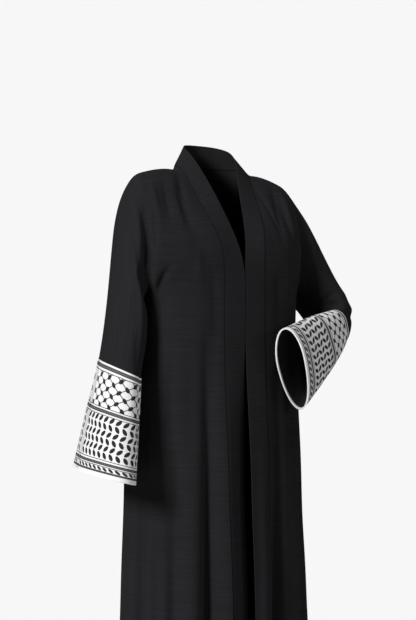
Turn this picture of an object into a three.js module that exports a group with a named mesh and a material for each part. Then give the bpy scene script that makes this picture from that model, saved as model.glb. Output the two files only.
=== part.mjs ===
// A long open-front abaya, holding the form of the general figure that it is worn on.
// Millimetres, +Z up. The wearer faces -Y, the wearer's left is +X, and the origin lies
// midway between the two points where the neck meets the shoulders.

import * as THREE from "three";

// Cloth walls and the gaps at seams
const CREPE_WALL = 1.6;
const BAND_WALL = 2.0;
const CUFF_WALL = 1.0;
const EDGE_WIDTH = 3.4;
const SEAM_GAP = 0.3;
const BAND_GAP = 0.5;

// Lengths and widths of the cut
const UNDERARM_Z = -250;
const HEM_Z = -1420;
const BAND_WIDTH = 46;
const FRONT_OPENING = 0.8;
const SHOULDER_RISE = 5;
const EDGE_STEP = { top: -300, full: -620, right: 20, left: -5 };

// How finely each stretch is divided
const SHOULDER_COLUMNS = 12;
const NECK_COLUMNS = 4;
const YOKE_ROWS = 10;
const SKIRT_ROWS = 18;
const SKIRT_CROWDING = 1.3;
const BAND_COLUMNS = 3;
const ROWS_PER_STATION = 3;
const CUFF_STATIONS = 2;
const SOFT_SKIRT_ROWS = 6;
const SOFT_SLEEVE_ROWS = 5;
const BENT_ELBOW_ROWS = [9, 16];

// Level sections of the body: half the width, the depth to the front and the back, and how square
// the section is, from 2 for an ellipse upwards. At the top, half the width is the distance of
// both sleeves' underarm points from the middle.
const BODY = [
  { z: -250, half: 167, front: 116, back: 94, square: 2.7 },
  { z: -330, half: 169, front: 116, back: 90, square: 2.5 },
  { z: -400, half: 174, front: 118, back: 96, square: 2.35 },
  { z: -460, half: 179, front: 122, back: 105, square: 2.25 },
  { z: -600, half: 185, front: 131, back: 120, square: 2.15 },
  { z: -860, half: 192, front: 144, back: 133, square: 2.1 },
  { z: -1100, half: 208, front: 156, back: 146, square: 2 },
  { z: -1420, half: 236, front: 174, back: 166, square: 2 },
];

// Lengthwise folds of the skirt. A turn is the angle round the body, 0 at the front and
// positive to the wearer's left. A negative depth is a ridge.
const FOLDS = [
  { turn: -25, turnAtHem: -33, top: -330, depth: 20, half: 5.5 },
  { turn: -14, turnAtHem: -18, top: -420, depth: -9, half: 4.5 },
  { turn: -48, turnAtHem: -52, top: -520, depth: 13, half: 7 },
  { turn: -74, turnAtHem: -78, top: -430, depth: 15, half: 6 },
  { turn: 28, turnAtHem: 33, top: -400, depth: 17, half: 7.5 },
  { turn: 17, turnAtHem: 18, top: -520, depth: -8, half: 4.5 },
  { turn: 51, turnAtHem: 55, top: -480, depth: 12, half: 6 },
  { turn: 72, turnAtHem: 76, top: -560, depth: 14, half: 6.5 },
  { turn: 108, turnAtHem: 110, top: -450, depth: 14, half: 7 },
  { turn: 134, turnAtHem: 137, top: -380, depth: 19, half: 7 },
  { turn: 160, turnAtHem: 159, top: -500, depth: 15, half: 6.5 },
  { turn: -169, turnAtHem: -167, top: -540, depth: 13, half: 6 },
  { turn: -142, turnAtHem: -144, top: -400, depth: 19, half: 7.5 },
  { turn: -112, turnAtHem: -115, top: -500, depth: 15, half: 7 },
];

// Creases of the chest, shoulders and sleeves, each along a bent line near the cloth
const CREASES = [
  { from: [-190, -30, -52], via: [-196, -64, -140], to: [-176, -66, -258], depth: 9, half: 11 },
  { from: [176, -30, -75], via: [172, -52, -150], to: [160, -52, -262], depth: 9, half: 10 },
  { from: [-150, -104, -205], via: [-165, -88, -228], to: [-172, -62, -262], depth: 3, half: 14 },
  { from: [-116, -40, -30], via: [-112, -80, -110], to: [-84, -112, -215], depth: 5, half: 15 },
  { from: [122, -38, -36], via: [124, -76, -100], to: [140, -84, -170], depth: 5, half: 15 },
  { from: [-206, -70, -190], via: [-213, -74, -270], to: [-222, -70, -370], depth: 6, half: 13 },
  { from: [288, -72, -262], via: [262, -88, -262], to: [226, -70, -292], depth: 8, half: 11 },
  { from: [310, -46, -292], via: [286, -80, -286], to: [240, -60, -306], depth: 6, half: 9 },
  { from: [-150, 74, -60], via: [-168, 78, -150], to: [-160, 60, -258], depth: 8, half: 13 },
  { from: [150, 74, -60], via: [168, 78, -150], to: [160, 60, -258], depth: 8, half: 13 },
  { from: [-60, 86, -120], via: [-70, 92, -220], to: [-84, 86, -330], depth: 6, half: 16 },
  { from: [74, 86, -140], via: [78, 92, -240], to: [88, 84, -350], depth: 6, half: 16 },
];

// Half of the neck seam, from the centre back to the shoulder, and on down the front
const NECK_SEAM = [[0, 73, 2], [40, 64, 1], [68, 38, -1], [80, 5, -2]];
const FRONT_SEAM = [
  [80, 5, -2], [73, -24, -34], [68, -52, -75], [61, -88, -120], [50, -110, -160], [46, -114, -205],
];
// Half of the band's free edge over the same stretches
const NECK_EDGE = [[0, 63, 47], [30, 54, 45], [48, 34, 38], [52, 10, 26]];
const FRONT_EDGE = [
  [52, 10, 26], [47, -12, 4], [36, -34, -32], [27, -57, -70], [18, -83, -116], [9, -104, -160],
  [0.8, -115, -212],
];
const CENTRE_BACK = [[0, 73, 2], [0, 86, -50], [0, 94, -110], [0, 96, -180]];

// Sections of each sleeve, from the armhole to the hem, each through four points: on the
// overarm line, on the front half, on the underarm line and on the back half
const SLEEVES = {
  right: [
    { over: [-168, 8, -25], front: [-188, -62, -155], under: [-167, 0, -250], back: [-168, 70, -140] },
    { over: [-191, 8, -64], front: [-203, -74, -172], under: [-177, 0, -262], back: [-183, 62, -165] },
    { over: [-209, 4, -122], front: [-212, -76, -212], under: [-184, -2, -282], back: [-190, 56, -207] },
    { over: [-226, -2, -255], front: [-206, -78, -298], under: [-184, -10, -315], back: [-198, 50, -280] },
    { over: [-256, -24, -388], front: [-230, -92, -413], under: [-185, -22, -415], back: [-209, 50, -385] },
    { over: [-279, -25, -488], front: [-247, -110, -510], under: [-197, -27, -512], back: [-228, 61, -484] },
    { over: [-301, -24, -586], front: [-263, -126, -604], under: [-210, -31, -608], back: [-246, 72, -584] },
  ],
  left: [
    { over: [168, 8, -31], front: [170, -52, -155], under: [167, 0, -250], back: [170, 72, -140] },
    { over: [197, 6, -84], front: [200, -60, -172], under: [180, -2, -264], back: [200, 70, -165] },
    { over: [236, 0, -152], front: [222, -66, -212], under: [200, -12, -286], back: [228, 58, -210] },
    { over: [274, -14, -228], front: [240, -79, -250], under: [216, -20, -302], back: [262, 40, -282] },
    { over: [299, -48, -290], front: [245, -91, -272], under: [222, -20, -324], back: [292, 8, -336] },
    { over: [266, -82, -314], front: [219, -90, -285], under: [206, -40, -340], back: [270, -46, -360] },
    { over: [182, -127, -348], front: [150, -112, -300], under: [155, -86, -358], back: [205, -94, -412] },
    { over: [97, -176, -385], front: [64, -158, -323], under: [67, -128, -390], back: [119, -132, -477] },
  ],
};

const BLACK = { color: 0x141416, roughness: 0.85, metalness: 0 };
const WHITE = { color: 0xe4e2dc, roughness: 0.8, metalness: 0 };

// Small helpers

const OWN_NORMAL = 1;
const PULL = 0.5;
const PUSH = 0.51;
const PASSES = 24;
const UP = new THREE.Vector3(0, 0, 1);
const vec = (point) => new THREE.Vector3(...point);
const mirrored = (point, side) => new THREE.Vector3(side * Math.abs(point[0]), point[1], point[2]);
const mix = (a, b, amount) => a.clone().lerp(b, amount);
const steps = (count) => Array.from({ length: count + 1 }, (_, i) => i / count);

function ease(value, from, to) {
  const x = Math.min(1, Math.max(0, (value - from) / (to - from)));
  return x * x * (3 - 2 * x);
}

function spline(points) {
  const curve = new THREE.CatmullRomCurve3(points, false, "centripetal");
  return (amount) => curve.getPointAt(Math.min(1, Math.max(0, amount)));
}

// A column of the body table at a height, on a smooth curve through its rows
function bodySize(z, column) {
  const last = BODY.length - 1;
  let i = 0;
  while (i < last - 1 && z < BODY[i + 1].z) i += 1;
  const slope = (k) => {
    const above = BODY[Math.max(0, k - 1)];
    const below = BODY[Math.min(last, k + 1)];
    return (below[column] - above[column]) / (below.z - above.z);
  };
  const span = BODY[i + 1].z - BODY[i].z;
  const x = (z - BODY[i].z) / span;
  const start = BODY[i][column];
  const end = BODY[i + 1][column];
  return start + (end - start) * x * x * (3 - 2 * x)
    + span * (slope(i) * x * (1 - x) ** 2 - slope(i + 1) * x * x * (1 - x));
}

// How far the skirt's folds sink the cloth at a height and an angle round the body
function foldDepth(z, turn) {
  let depth = 0;
  for (const fold of FOLDS) {
    const grown = ease(z, fold.top, HEM_Z);
    const fall = (z - fold.top) / (HEM_Z - fold.top);
    const middle = fold.turn + (fold.turnAtHem - fold.turn) * Math.max(0, fall);
    const away = ((turn - middle + 540) % 360) - 180;
    depth += fold.depth * Math.sqrt(grown) * Math.exp(-((away / fold.half) ** 2));
  }
  return depth;
}

// A point of the body below the underarm, at a height and an angle in degrees
function bodyPoint(z, turn) {
  const angle = THREE.MathUtils.degToRad(turn);
  const half = bodySize(z, "half");
  const depth = bodySize(z, Math.abs(turn) <= 90 ? "front" : "back");
  const power = 2 / bodySize(z, "square");
  const across = half * Math.sign(turn) * Math.abs(Math.sin(angle)) ** power;
  const ahead = -depth * Math.sign(Math.cos(angle)) * Math.abs(Math.cos(angle)) ** power;
  const point = new THREE.Vector3(across, ahead, z);
  const out = new THREE.Vector3(point.x / half ** 2, point.y / depth ** 2, 0).normalize();
  return point.addScaledVector(out, -foldDepth(z, turn));
}

// The angle at which the body is a given distance from its middle plane
const turnAt = (z, across) => THREE.MathUtils.radToDeg(
  Math.asin((across / bodySize(z, "half")) ** (bodySize(z, "square") / 2)));

// A point on a sleeve: `along` counts stations from the armhole, and `turn` goes round from the
// overarm line (0) over the front (90) and the underarm line (180) to the back (270)
function sleevePoint(sleeve, along, turn) {
  const last = sleeve.length - 1;
  const guide = (name) => {
    const stations = sleeve.map((row) => vec(row[name]));
    return new THREE.CatmullRomCurve3(stations, false, "catmullrom", 0.5).getPoint(along / last);
  };
  const over = guide("over");
  const under = guide("under");
  const bulge = guide(turn <= 180 ? "front" : "back");
  const middle = mix(over, under, 0.5);
  const angle = THREE.MathUtils.degToRad(turn);
  return middle.clone()
    .addScaledVector(over.sub(middle), Math.cos(angle))
    .addScaledVector(bulge.sub(middle), Math.abs(Math.sin(angle)));
}

// A smooth sheet spanned between four border curves that meet at their ends
function spanned(left, right, top, bottom) {
  return (across, down) => {
    const point = mix(left(down), right(down), across).add(mix(top(across), bottom(across), down));
    const corners = mix(mix(left(0), right(0), across), mix(left(1), right(1), across), down);
    return point.sub(corners);
  };
}

// The whole garment as one sheet, whose quads are sorted into pieces
class Cloth {
  constructor() {
    this.points = [];
    this.found = new Map();
    this.pieces = {};
  }

  vertex(point) {
    const key = point.toArray().map((value) => Math.round(value * 500)).join();
    if (!this.found.has(key)) {
      this.found.set(key, this.points.length);
      this.points.push(point.clone());
    }
    return this.found.get(key);
  }

  // Adds a grid of quads, and gives back the grid's vertices, row by row
  patch(piece, columns, rows, at, turned) {
    const grid = rows.map((row) => columns.map((column) => this.vertex(at(column, row))));
    const quads = (this.pieces[piece] ??= []);
    for (let j = 0; j + 1 < grid.length; j += 1) {
      for (let i = 0; i + 1 < columns.length; i += 1) {
        const quad = [grid[j][i], grid[j + 1][i], grid[j + 1][i + 1], grid[j][i + 1]];
        quads.push(turned ? quad.reverse() : quad);
      }
    }
    return grid;
  }

  // Evens out the sheet round the given vertices. Every other pass pushes back, so it keeps its size
  relax(chosen, passes) {
    const near = new Map([...chosen].map((id) => [id, new Set()]));
    for (const quad of Object.values(this.pieces).flat()) {
      quad.forEach((id, k) => near.get(id)?.add(quad[(k + 1) % 4]).add(quad[(k + 3) % 4]));
    }
    for (let pass = 0; pass < passes; pass += 1) {
      const moved = [...near].map(([id, ring]) => {
        const middle = new THREE.Vector3();
        ring.forEach((other) => middle.addScaledVector(this.points[other], 1 / ring.size));
        return [id, mix(this.points[id], middle, pass % 2 ? -PUSH : PULL)];
      });
      moved.forEach(([id, point]) => this.points[id].copy(point));
    }
  }

  // Each vertex takes the mean direction of the quads round it, evened with its neighbours'
  measureNormals() {
    const quads = Object.values(this.pieces).flat();
    const rough = this.points.map(() => new THREE.Vector3());
    for (const quad of quads) {
      const [a, b, c, d] = quad.map((id) => this.points[id]);
      const normal = c.clone().sub(a).cross(d.clone().sub(b));
      quad.forEach((id) => rough[id].add(normal));
    }
    rough.forEach((normal) => normal.normalize());
    this.normals = rough.map((normal) => normal.clone().multiplyScalar(OWN_NORMAL));
    for (const quad of quads) {
      quad.forEach((id) => quad.forEach((other) => this.normals[id].add(rough[other])));
    }
    this.normals.forEach((normal) => normal.normalize());
  }

  // Sinks the creases into the sheet
  crease(lines) {
    this.measureNormals();
    for (const line of lines) {
      const curve = new THREE.QuadraticBezierCurve3(vec(line.from), vec(line.via), vec(line.to));
      const stops = curve.getPoints(24);
      this.points.forEach((point, id) => {
        const distances = stops.map((stop) => stop.distanceTo(point));
        const nearest = Math.min(...distances);
        const taper = Math.sin(Math.PI * (distances.indexOf(nearest) + 1) / (stops.length + 1)) ** 0.7;
        const depth = line.depth * taper * Math.exp(-((nearest / line.half) ** 2));
        point.addScaledVector(this.normals[id], -depth);
      });
    }
    this.measureNormals();
  }

  // A closed wall over some quads, between two distances from the sheet, cut back at its rims
  wall(quads, inside, outside, gap = SEAM_GAP) {
    const slots = new Map();
    const inward = [];
    const slot = (id) => {
      if (!slots.has(id)) {
        slots.set(id, slots.size);
        inward.push(new THREE.Vector3());
      }
      return slots.get(id);
    };
    const edges = new Map();
    for (const quad of quads) {
      quad.forEach((id, k) => {
        slot(id);
        const next = quad[(k + 1) % 4];
        if (!edges.delete(`${next},${id}`)) edges.set(`${id},${next}`, [id, next]);
      });
    }
    for (const [a, b] of edges.values()) {
      const run = this.points[b].clone().sub(this.points[a]).normalize();
      const cut = this.normals[a].clone().add(this.normals[b]).cross(run).normalize();
      inward[slot(a)].add(cut);
      inward[slot(b)].add(cut);
    }
    const layer = (distance) => [...slots.keys()].flatMap((id) => {
      const cut = inward[slots.get(id)];
      const point = this.points[id].clone().addScaledVector(this.normals[id], distance);
      // The two rims that meet at a corner each keep half of the gap
      point.addScaledVector(cut, gap / Math.max(1, cut.lengthSq()));
      return point.toArray();
    });
    const count = slots.size;
    const faces = [];
    for (const quad of quads) {
      const [a, b, c, d] = quad.map(slot);
      faces.push(a, b, c, a, c, d);
      faces.push(a + count, c + count, b + count, a + count, d + count, c + count);
    }
    for (const [from, to] of edges.values()) {
      const [a, b] = [slot(from), slot(to)];
      faces.push(b, a, a + count, b, a + count, b + count);
    }
    const geometry = new THREE.BufferGeometry();
    const corners = [...layer(outside), ...layer(inside)];
    geometry.setAttribute("position", new THREE.Float32BufferAttribute(corners, 3));
    geometry.setIndex(faces);
    return geometry;
  }

  // Copies the vertices of one line, so that two pieces can end on it without joining
  parted(quads, line) {
    const copies = new Map(line.map((id) => {
      this.points.push(this.points[id].clone());
      this.normals.push(this.normals[id].clone());
      return [id, this.points.length - 1];
    }));
    return quads.map((quad) => quad.map((id) => copies.get(id) ?? id));
  }
}

// Builds the right or left half of the garment into the sheet
function layHalf(cloth, name) {
  const side = name === "right" ? -1 : 1;
  const sleeve = SLEEVES[name];
  const turned = side < 0;
  const fall = HEM_Z - UNDERARM_Z;
  const skirtRows = steps(SKIRT_ROWS).map((down) => UNDERARM_Z + fall * down ** SKIRT_CROWDING);
  const seamTurn = (z) => turnAt(z, BAND_WIDTH);

  // Front yoke, from the band's seam to the armhole
  const seamEnd = bodyPoint(UNDERARM_Z, side * seamTurn(UNDERARM_Z));
  const frontSeam = spline([...FRONT_SEAM.map((point) => mirrored(point, side)), seamEnd]);
  const shoulder = (across) => mix(mirrored(FRONT_SEAM[0], side), vec(sleeve[0].over), across)
    .addScaledVector(UP, SHOULDER_RISE * Math.sin(Math.PI * across));
  const armhole = (from) => (down) => sleevePoint(sleeve, 0, from + (180 - from) * down);
  const underFront = (across) => {
    const start = seamTurn(UNDERARM_Z);
    return bodyPoint(UNDERARM_Z, side * (start + (90 - start) * across));
  };
  const frontYoke = cloth.patch(`front_${name}`, steps(SHOULDER_COLUMNS), steps(YOKE_ROWS),
    spanned(frontSeam, armhole(0), shoulder, underFront), turned);

  // Front skirt
  const frontSkirt = cloth.patch(`front_${name}`, steps(SHOULDER_COLUMNS), skirtRows, (across, z) => {
    const start = seamTurn(z);
    return bodyPoint(z, side * (start + (90 - start) * across));
  }, turned);

  // Back yoke, whose top runs along the neck and then the shoulder
  const neckSeam = spline(NECK_SEAM.map((point) => mirrored(point, side)));
  const neckShare = NECK_COLUMNS / (NECK_COLUMNS + SHOULDER_COLUMNS);
  const backTop = (across) => (across < neckShare
    ? neckSeam(across / neckShare)
    : shoulder((across - neckShare) / (1 - neckShare)));
  const centreBack = spline([...CENTRE_BACK.map(vec), bodyPoint(UNDERARM_Z, side * 180)]);
  const underBack = (across) => bodyPoint(UNDERARM_Z, side * (180 - 90 * across));
  const backColumns = steps(NECK_COLUMNS + SHOULDER_COLUMNS);
  const backYoke = cloth.patch(`back_${name}`, backColumns, steps(YOKE_ROWS),
    spanned(centreBack, armhole(360), backTop, underBack), !turned);
  const backSkirt = cloth.patch(`back_${name}`, backColumns, skirtRows,
    (across, z) => bodyPoint(z, side * (180 - 90 * across)), !turned);

  // The two halves of the sleeve
  const last = sleeve.length - 1;
  const stations = steps(last * ROWS_PER_STATION).map((down) => down * last);
  const sleeveHalf = (piece, from, flip) => cloth.patch(piece, stations, steps(YOKE_ROWS),
    (along, down) => sleevePoint(sleeve, along, from + (180 - from) * down), flip);
  const halves = [
    sleeveHalf(`front_${name}`, 0, turned),
    sleeveHalf(`back_${name}`, 360, !turned),
  ];

  // The band: up round the neck, down the front, and on to the hem
  const bandAcross = steps(BAND_COLUMNS);
  const neckEdge = spline(NECK_EDGE.map((point) => mirrored(point, side)));
  const edgeEnd = bodyPoint(UNDERARM_Z, side * turnAt(UNDERARM_Z, FRONT_OPENING));
  const frontEdge = spline([...FRONT_EDGE.map((point) => mirrored(point, side)), edgeEnd]);
  cloth.patch(`band_${name}`, bandAcross, steps(NECK_COLUMNS),
    (across, down) => mix(neckEdge(down), neckSeam(down), across), turned);
  const bandPoint = (across, z) => {
    const start = turnAt(z, FRONT_OPENING);
    const point = bodyPoint(z, side * (start + (seamTurn(z) - start) * across));
    point.y += EDGE_STEP[name] * ease(z, EDGE_STEP.top, EDGE_STEP.full) * (1 - across) ** 1.5;
    return point;
  };
  const bandTop = (across) => mix(frontEdge(0), frontSeam(0), across);
  const bandUnder = (across) => bandPoint(across, UNDERARM_Z);
  cloth.patch(`band_${name}`, bandAcross, steps(YOKE_ROWS),
    spanned(frontEdge, frontSeam, bandTop, bandUnder), turned);
  cloth.patch(`band_${name}`, bandAcross, skirtRows, bandPoint, turned);

  // The yoke flows into the shoulder, and the armhole is no seam
  const soft = new Set();
  const soften = (row) => row.forEach((id) => soft.add(id));
  frontYoke.slice(0, -1).forEach((row) => soften(row.slice(1)));
  backYoke.slice(1, -1).forEach((row) => soften(row.slice(1)));
  for (const grid of [frontSkirt, backSkirt]) {
    grid.slice(0, SOFT_SKIRT_ROWS).forEach((row) => soften(row.slice(1, -1)));
  }
  for (const grid of halves) {
    grid.slice(0, -2).forEach((row) => soften(row.slice(0, SOFT_SLEEVE_ROWS)));
    if (name === "left") grid.forEach((row) => soften(row.slice(...BENT_ELBOW_ROWS)));
  }
  return { soft, halves };
}

function dress(name, geometry, look) {
  const flat = geometry.toNonIndexed();
  flat.computeVertexNormals();
  const mesh = new THREE.Mesh(flat, new THREE.MeshStandardMaterial(look));
  mesh.name = name;
  return mesh;
}

function buildAbaya() {
  const group = new THREE.Group();
  const cloth = new Cloth();
  const laid = ["right", "left"].map((name) => ({ name, ...layHalf(cloth, name) }));
  cloth.relax(laid.flatMap(({ soft }) => [...soft]), PASSES);

  // The binding carries on past the hem of the sleeve, in the sleeve's own direction
  for (const { name, halves } of laid) {
    halves.forEach((grid, k) => {
      const rim = grid.map((row) => [row.at(-2), row.at(-1)]);
      cloth.patch(`cuff_edge_${name}`, [0, 1], steps(YOKE_ROWS), (out, down) => {
        const [before, last] = rim[Math.round(down * YOKE_ROWS)].map((id) => cloth.points[id]);
        return last.clone().addScaledVector(last.clone().sub(before).normalize(), out * EDGE_WIDTH);
      }, (name === "right") === (k === 0));
    });
  }
  cloth.crease(CREASES);

  const half = CREPE_WALL / 2;
  for (const [name, quads] of Object.entries(cloth.pieces)) {
    if (name.startsWith("cuff_edge")) {
      group.add(dress(name, cloth.wall(quads, -half, half + SEAM_GAP + CUFF_WALL), WHITE));
    } else if (name.startsWith("band")) {
      group.add(dress(name, cloth.wall(quads, -BAND_WALL / 2, BAND_WALL / 2, BAND_GAP), BLACK));
    } else {
      group.add(dress(name, cloth.wall(quads, -half, half), BLACK));
    }
  }

  // The patterned strip lies on the outside of the sleeve's end, and its ends meet overarm
  for (const { name, halves } of laid) {
    const rows = CUFF_STATIONS * ROWS_PER_STATION + 1;
    const covered = new Set(halves.flatMap((grid) => grid.flatMap((row) => row.slice(-rows))));
    const strip = (piece) => cloth.pieces[piece].filter((quad) => quad.every((id) => covered.has(id)));
    const overarm = halves[0][0].slice(-rows);
    const quads = [...strip(`front_${name}`), ...cloth.parted(strip(`back_${name}`), overarm)];
    const inside = half + SEAM_GAP;
    group.add(dress(`cuff_${name}`, cloth.wall(quads, inside, inside + CUFF_WALL), WHITE));
  }
  return group;
}

export default buildAbaya();
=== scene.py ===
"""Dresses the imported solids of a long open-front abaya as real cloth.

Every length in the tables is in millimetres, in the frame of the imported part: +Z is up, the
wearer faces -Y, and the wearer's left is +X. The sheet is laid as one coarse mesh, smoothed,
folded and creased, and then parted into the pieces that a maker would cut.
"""

import logging
import math
from collections.abc import Callable, Iterable, Sequence
from dataclasses import dataclass, field
from enum import Enum
from typing import ClassVar

import bmesh
import bpy
import numpy as np
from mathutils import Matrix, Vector
from mathutils.kdtree import KDTree


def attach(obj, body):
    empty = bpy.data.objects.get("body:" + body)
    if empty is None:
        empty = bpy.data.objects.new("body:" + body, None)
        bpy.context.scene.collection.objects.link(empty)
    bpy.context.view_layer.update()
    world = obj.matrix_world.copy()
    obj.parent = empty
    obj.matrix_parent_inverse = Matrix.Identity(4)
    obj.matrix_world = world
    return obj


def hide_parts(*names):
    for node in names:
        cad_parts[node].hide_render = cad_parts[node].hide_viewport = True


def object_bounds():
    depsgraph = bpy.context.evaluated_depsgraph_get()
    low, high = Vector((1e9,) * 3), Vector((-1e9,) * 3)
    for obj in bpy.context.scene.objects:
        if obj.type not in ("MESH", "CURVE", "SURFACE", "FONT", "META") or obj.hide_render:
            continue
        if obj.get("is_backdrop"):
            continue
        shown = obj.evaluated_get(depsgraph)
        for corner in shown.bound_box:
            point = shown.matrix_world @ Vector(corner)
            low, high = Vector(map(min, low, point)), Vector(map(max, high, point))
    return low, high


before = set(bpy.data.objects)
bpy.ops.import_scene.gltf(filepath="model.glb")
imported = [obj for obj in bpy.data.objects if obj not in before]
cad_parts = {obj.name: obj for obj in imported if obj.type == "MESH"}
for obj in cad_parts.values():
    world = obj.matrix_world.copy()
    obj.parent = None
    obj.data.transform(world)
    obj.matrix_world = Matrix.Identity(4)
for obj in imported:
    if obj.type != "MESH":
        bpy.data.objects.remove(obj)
CAD_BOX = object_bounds()

MM = 0.001
log = logging.getLogger("abaya")

Point = tuple[float, float, float]
Pair = tuple[float, float]
Placer = Callable[[float, float], Vector]


class Side(Enum):
    """The two halves of the garment, as the wearer has them."""

    RIGHT = -1
    LEFT = 1

    @property
    def word(self) -> str:
        """The half's name, as the nodes spell it."""
        return self.name.lower()


class Zone(Enum):
    """The stretches of the sheet, as they are tagged on its faces."""

    BODY = 0
    SLEEVE = 1
    CUFF = 2
    BAND = 3


class Panel(Enum):
    """The cut pieces of one half."""

    FRONT = 0
    BACK = 1
    BAND = 2


class Relief(Enum):
    """What a stroke does to the cloth across its own line."""

    VALLEY = 0
    RIDGE = 1


def tag(side: Side, panel: Panel, zone: Zone) -> int:
    """Gives the face tag of one zone of one piece."""
    return ((side.value + 1) // 2 * len(Panel) + panel.value) * len(Zone) + zone.value


def ease(value: np.ndarray | float, start: float, end: float) -> np.ndarray:
    """Rises smoothly from 0 at start to 1 at end."""
    x = np.clip((np.asarray(value, dtype=float) - start) / (end - start), 0, 1)
    return x * x * (3 - 2 * x)


def placed(name: str, data: bpy.types.ID) -> bpy.types.Object:
    """Makes an object of some data and adds it to the scene."""
    made = bpy.data.objects.new(name, data)
    bpy.context.scene.collection.objects.link(made)
    return made


def mirrored(point: Point, side: Side) -> Point:
    """Puts a point of the table on one side of the garment."""
    return (side.value * abs(point[0]), point[1], point[2])


class Spline:
    """A smooth curve through points, read by its share of the length."""

    STOPS = 200

    def __init__(self, points: Sequence[Point]) -> None:
        """Samples a centripetal curve through the points.

        Args:
            points: The points that the curve passes through.
        """
        knots = np.array(points, dtype=float)
        padded = np.vstack([2 * knots[0] - knots[1], knots, 2 * knots[-1] - knots[-2]])
        stops = np.linspace(0, len(knots) - 1, self.STOPS + 1)
        self.samples = np.array([self._at(padded, stop, len(knots) - 1) for stop in stops])
        lengths = np.linalg.norm(np.diff(self.samples, axis=0), axis=1)
        self.shares = np.concatenate([[0], np.cumsum(lengths)]) / lengths.sum()

    @staticmethod
    def _at(padded: np.ndarray, stop: float, last: int) -> np.ndarray:
        """Gives the curve's point at a knot number with its fraction."""
        i = min(int(stop), last - 1)
        x = stop - i
        a, b, c, d = padded[i : i + 4]
        before, within, after = (np.sum((q - p) ** 2) ** 0.25 for p, q in ((a, b), (b, c), (c, d)))
        start = ((b - a) / before - (c - a) / (before + within) + (c - b) / within) * within
        end = ((c - b) / within - (d - b) / (within + after) + (d - c) / after) * within
        return b + x * (start + x * (3 * (c - b) - 2 * start - end + x * (2 * (b - c) + start + end)))

    def __call__(self, share: float) -> Vector:
        """Gives the point at a share of the curve's length."""
        return Vector([np.interp(share, self.shares, self.samples[:, k]) for k in range(3)])


def spanned(left: Callable, right: Callable, top: Callable, bottom: Callable) -> Placer:
    """Spans a smooth sheet between four border curves that meet at their ends.

    Args:
        left: The border where across is 0, by its share down.
        right: The border where across is 1, by its share down.
        top: The border where down is 0, by its share across.
        bottom: The border where down is 1, by its share across.

    Returns:
        The sheet's point at a share across and a share down.
    """

    def place(across: float, down: float) -> Vector:
        point = left(down).lerp(right(down), across) + top(across).lerp(bottom(across), down)
        corners = left(0).lerp(right(0), across).lerp(left(1).lerp(right(1), across), down)
        return point - corners

    return place


@dataclass(frozen=True)
class Section:
    """A level section of the body: half its width, its depths, and how square it is."""

    z: float
    half: float
    front: float
    back: float
    square: float


@dataclass(frozen=True)
class Fold:
    """A lengthwise fold of the skirt; a negative depth is a ridge."""

    turn: float
    turn_at_hem: float
    top: float
    depth: float
    half: float


@dataclass(frozen=True)
class BodyForm:
    """The garment below the underarm, on a general figure."""

    sections: tuple[Section, ...]
    folds: tuple[Fold, ...]

    def size(self, z: np.ndarray | float, column: str) -> np.ndarray:
        """Reads a column of the sections at a height, on a smooth curve.

        Args:
            z: The height or heights.
            column: The field of Section that is wanted.

        Returns:
            The value at each height.
        """
        heights = np.array([row.z for row in self.sections])
        values = np.array([getattr(row, column) for row in self.sections])
        slopes = np.empty_like(values)
        slopes[1:-1] = (values[2:] - values[:-2]) / (heights[2:] - heights[:-2])
        slopes[0] = (values[1] - values[0]) / (heights[1] - heights[0])
        slopes[-1] = (values[-1] - values[-2]) / (heights[-1] - heights[-2])
        z = np.clip(np.asarray(z, dtype=float), heights[-1], heights[0])
        i = np.clip(np.searchsorted(-heights, -z, side="right") - 1, 0, len(heights) - 2)
        span = heights[i + 1] - heights[i]
        x = (z - heights[i]) / span
        rise = (values[i + 1] - values[i]) * x * x * (3 - 2 * x)
        bend = slopes[i] * x * (1 - x) ** 2 - slopes[i + 1] * x * x * (1 - x)
        return values[i] + rise + span * bend

    def point(self, z: float, turn: float) -> Vector:
        """Gives the unfolded body's point at a height and an angle in degrees."""
        angle = math.radians(turn)
        depth = float(self.size(z, "front" if abs(turn) <= 90 else "back"))
        power = 2 / float(self.size(z, "square"))
        across = math.copysign(abs(math.sin(angle)) ** power, turn) * float(self.size(z, "half"))
        ahead = -math.copysign(abs(math.cos(angle)) ** power, math.cos(angle)) * depth
        return Vector((across, ahead, z))

    def turn_at(self, z: float, across: float) -> float:
        """Gives the angle at which the body is a given distance from its middle plane."""
        share = across / float(self.size(z, "half"))
        return math.degrees(math.asin(share ** (float(self.size(z, "square")) / 2)))

    def turns(self, points: np.ndarray) -> np.ndarray:
        """Gives the angle round the body of each point, in degrees."""
        x, y, z = points.T
        power = self.size(z, "square") / 2
        depth = np.where(y <= 0, self.size(z, "front"), self.size(z, "back"))
        across = np.sign(x) * (np.abs(x) / self.size(z, "half")) ** power
        ahead = -np.sign(y) * (np.abs(y) / depth) ** power
        return np.degrees(np.arctan2(across, ahead))

    def fold_depth(self, points: np.ndarray) -> np.ndarray:
        """Tells how far the skirt's folds sink the cloth at each point."""
        turns = self.turns(points)
        z = points[:, 2]
        hem = self.sections[-1].z
        depth = np.zeros(len(points))
        for fold in self.folds:
            grown = np.sqrt(ease(z, fold.top, hem))
            fall = np.maximum(0, (z - fold.top) / (hem - fold.top))
            middle = fold.turn + (fold.turn_at_hem - fold.turn) * fall
            away = (turns - middle + 540) % 360 - 180
            depth += fold.depth * grown * np.exp(-((away / fold.half) ** 2))
        return depth


@dataclass(frozen=True)
class Station:
    """A section of a sleeve through four points: overarm, front, underarm and back."""

    over: Point
    front: Point
    under: Point
    back: Point


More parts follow.
